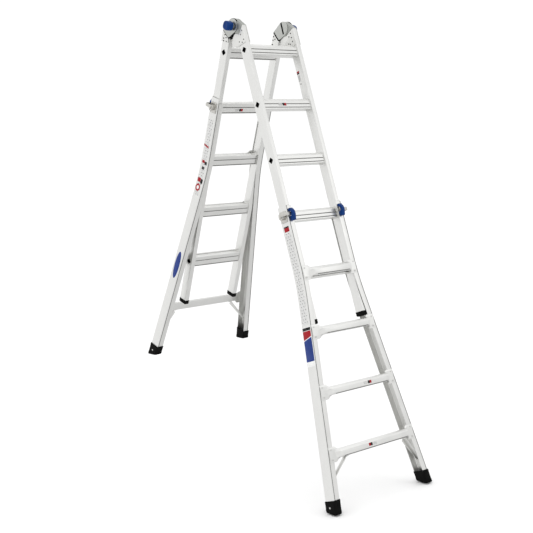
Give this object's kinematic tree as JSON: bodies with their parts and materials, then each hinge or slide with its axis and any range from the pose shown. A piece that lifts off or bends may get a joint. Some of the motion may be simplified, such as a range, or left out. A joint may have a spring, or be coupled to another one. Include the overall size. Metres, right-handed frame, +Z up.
{
  "type": "multi position ladder",
  "caption": "Aluminium multi position ladder: two telescoping rung sections with flared stepped bases, joined by locking hinges and opened as a stepladder.",
  "frame": {"origin": "middle of the bounding box, at the level of the front feet's soles", "axes": "+Z up, +X to the right seen from the front section, -Y towards the front section's feet"},
  "size_m": [0.7198, 1.5796, 2.4617],
  "materials": {
    "aluminium": "satin mill finish",
    "hinge_steel": "zinc plated",
    "blue_plastic": "moulded, lightly glossy",
    "black_rubber": "matte"
  },
  "bodies": {
    "front_fly": {"front_rung_1": "aluminium", "front_rung_2": "aluminium", "front_rung_3": "aluminium", "front_rung_4": "aluminium", "front_rung_5": "aluminium", "front_left_inner_rail": "aluminium", "front_left_end_cap": "black_rubber", "front_left_hinge_bracket": "aluminium", "front_right_inner_rail": "aluminium", "front_right_end_cap": "black_rubber", "front_right_hinge_bracket": "aluminium", "left_pivot_bolt": "hinge_steel", "left_knob_spring": "hinge_steel", "right_pivot_bolt": "hinge_steel", "right_knob_spring": "hinge_steel"},
    "rear_fly": {"rear_rung_1": "aluminium", "rear_rung_2": "aluminium", "rear_rung_3": "aluminium", "rear_rung_4": "aluminium", "rear_rung_5": "aluminium", "rear_left_inner_rail": "aluminium", "rear_left_end_cap": "black_rubber", "rear_left_hinge_bracket": "aluminium", "rear_right_inner_rail": "aluminium", "rear_right_end_cap": "black_rubber", "rear_right_hinge_bracket": "aluminium"},
    "front_base": {"front_step_1": "aluminium", "front_step_2": "aluminium", "front_step_3": "aluminium", "front_step_4": "aluminium", "front_left_outer_rail": "aluminium", "front_left_foot": "black_rubber", "front_left_brace": "aluminium", "front_left_lock_housing": "hinge_steel", "front_right_outer_rail": "aluminium", "front_right_foot": "black_rubber", "front_right_brace": "aluminium", "front_right_lock_housing": "hinge_steel"},
    "rear_base": {"rear_step_1": "aluminium", "rear_step_2": "aluminium", "rear_step_3": "aluminium", "rear_step_4": "aluminium", "rear_left_outer_rail": "aluminium", "rear_left_foot": "black_rubber", "rear_left_brace": "aluminium", "rear_left_lock_housing": "hinge_steel", "rear_right_outer_rail": "aluminium", "rear_right_foot": "black_rubber", "rear_right_brace": "aluminium", "rear_right_lock_housing": "hinge_steel"},
    "front_left_lock": {"front_left_lock_pin": "hinge_steel", "front_left_lock_handle": "blue_plastic"},
    "front_right_lock": {"front_right_lock_pin": "hinge_steel", "front_right_lock_handle": "blue_plastic"},
    "rear_left_lock": {"rear_left_lock_pin": "hinge_steel", "rear_left_lock_handle": "blue_plastic"},
    "rear_right_lock": {"rear_right_lock_pin": "hinge_steel", "rear_right_lock_handle": "blue_plastic"},
    "left_knob": {"left_hinge_knob": "blue_plastic"},
    "right_knob": {"right_hinge_knob": "blue_plastic"}
  },
  "joints": [
    {"name": "fold", "type": "hinge", "parent": "front_fly", "child": "rear_fly", "pos_m": [0, 0.09591, 2.42267], "axis": [1, 0, 0], "range_deg": [-36.6, 143.3]},
    {"name": "front_extend", "type": "slide", "parent": "front_fly", "child": "front_base", "axis": [0, -0.3147, -0.9492], "range_m": [-0.9144, 0.3048]},
    {"name": "rear_extend", "type": "slide", "parent": "rear_fly", "child": "rear_base", "axis": [0, 0.3147, -0.9492], "range_m": [-0.3048, 0.9144]},
    {"name": "front_left_lock_pull", "type": "slide", "parent": "front_base", "child": "front_left_lock", "axis": [-1, 0, 0], "range_m": [0, 0.022], "stiffness_N_per_m": 600, "springref_m": -0.02},
    {"name": "front_right_lock_pull", "type": "slide", "parent": "front_base", "child": "front_right_lock", "axis": [1, 0, 0], "range_m": [0, 0.022], "stiffness_N_per_m": 600, "springref_m": -0.02},
    {"name": "rear_left_lock_pull", "type": "slide", "parent": "rear_base", "child": "rear_left_lock", "axis": [-1, 0, 0], "range_m": [0, 0.022], "stiffness_N_per_m": 600, "springref_m": -0.02},
    {"name": "rear_right_lock_pull", "type": "slide", "parent": "rear_base", "child": "rear_right_lock", "axis": [1, 0, 0], "range_m": [0, 0.022], "stiffness_N_per_m": 600, "springref_m": -0.02},
    {"name": "left_knob_push", "type": "slide", "parent": "front_fly", "child": "left_knob", "axis": [1, 0, 0], "range_m": [0, 0.008], "stiffness_N_per_m": 900, "springref_m": -0.01, "deforming": ["left_knob_spring"]},
    {"name": "right_knob_push", "type": "slide", "parent": "front_fly", "child": "right_knob", "axis": [-1, 0, 0], "range_m": [0, 0.008], "stiffness_N_per_m": 900, "springref_m": -0.01, "deforming": ["right_knob_spring"]}
  ]
}
